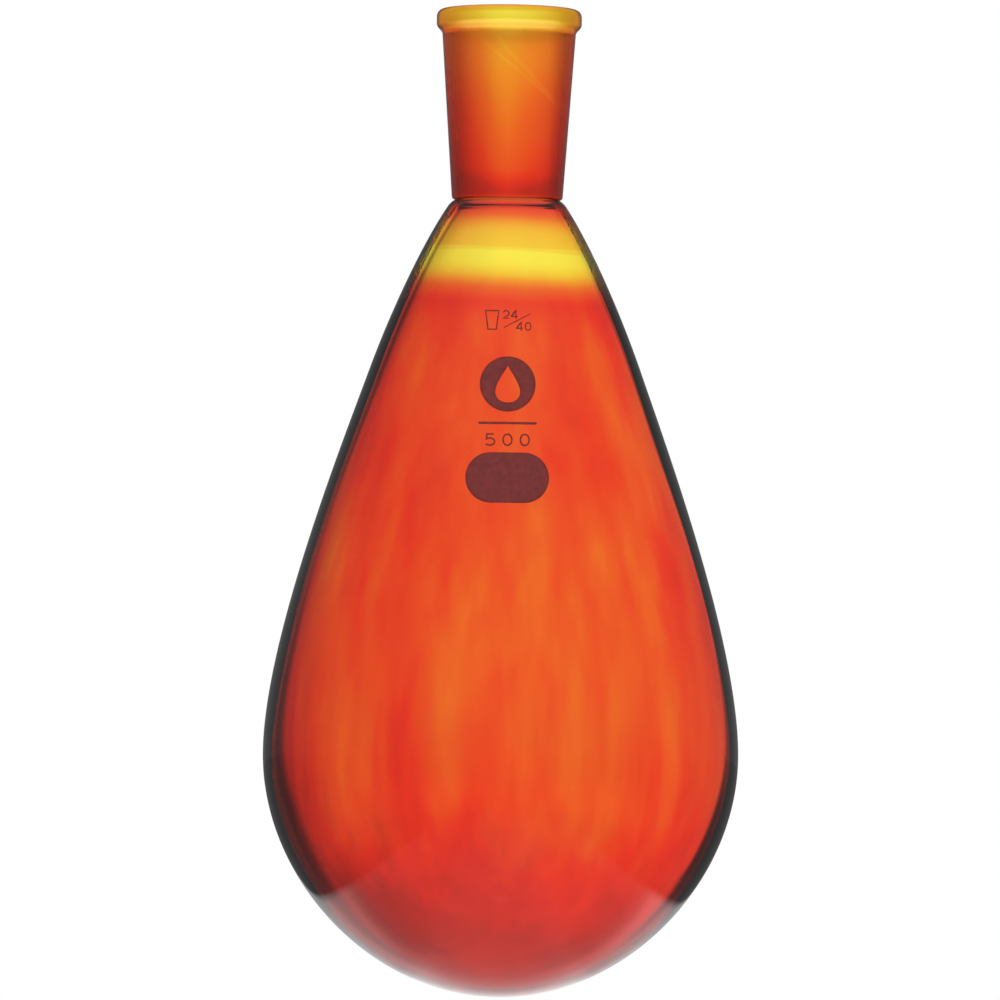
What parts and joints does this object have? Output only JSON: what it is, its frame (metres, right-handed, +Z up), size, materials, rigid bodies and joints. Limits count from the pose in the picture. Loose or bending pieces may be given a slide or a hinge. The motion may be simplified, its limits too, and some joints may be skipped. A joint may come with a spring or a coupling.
{
  "type": "pear-shaped evaporating flask",
  "caption": "Pear-shaped amber glass flask with a round bottom and a beaded 24/40 ground-joint neck, for holding and evaporating light-sensitive liquids.",
  "frame": {"origin": "centre of the mouth, on the flask's axis and in the plane of the mouth's flat land", "axes": "+Z up along the flask's axis, out of the mouth; -Y towards the printed front; +X to the right of it"},
  "size_m": [0.1, 0.1, 0.208],
  "materials": {
    "clear_amber_glass": "clear, fire polished, red-amber stain on the outside",
    "ground_amber_glass": "ground inside, fire-polished bead, orange-amber stain on the outside",
    "fired_enamel": "matt screen-printed enamel, fired on to the glass"
  },
  "bodies": {
    "root": {"ground_socket": "ground_amber_glass", "bulb": "clear_amber_glass", "taper_symbol": "fired_enamel", "joint_size_2": "fired_enamel", "joint_size_4_upper": "fired_enamel", "joint_size_slash": "fired_enamel", "joint_size_4_lower": "fired_enamel", "joint_size_0": "fired_enamel", "emblem": "fired_enamel", "name_rule": "fired_enamel", "capacity_5": "fired_enamel", "capacity_0_left": "fired_enamel", "capacity_0_right": "fired_enamel", "marking_spot": "fired_enamel"}
  },
  "joints": []
}
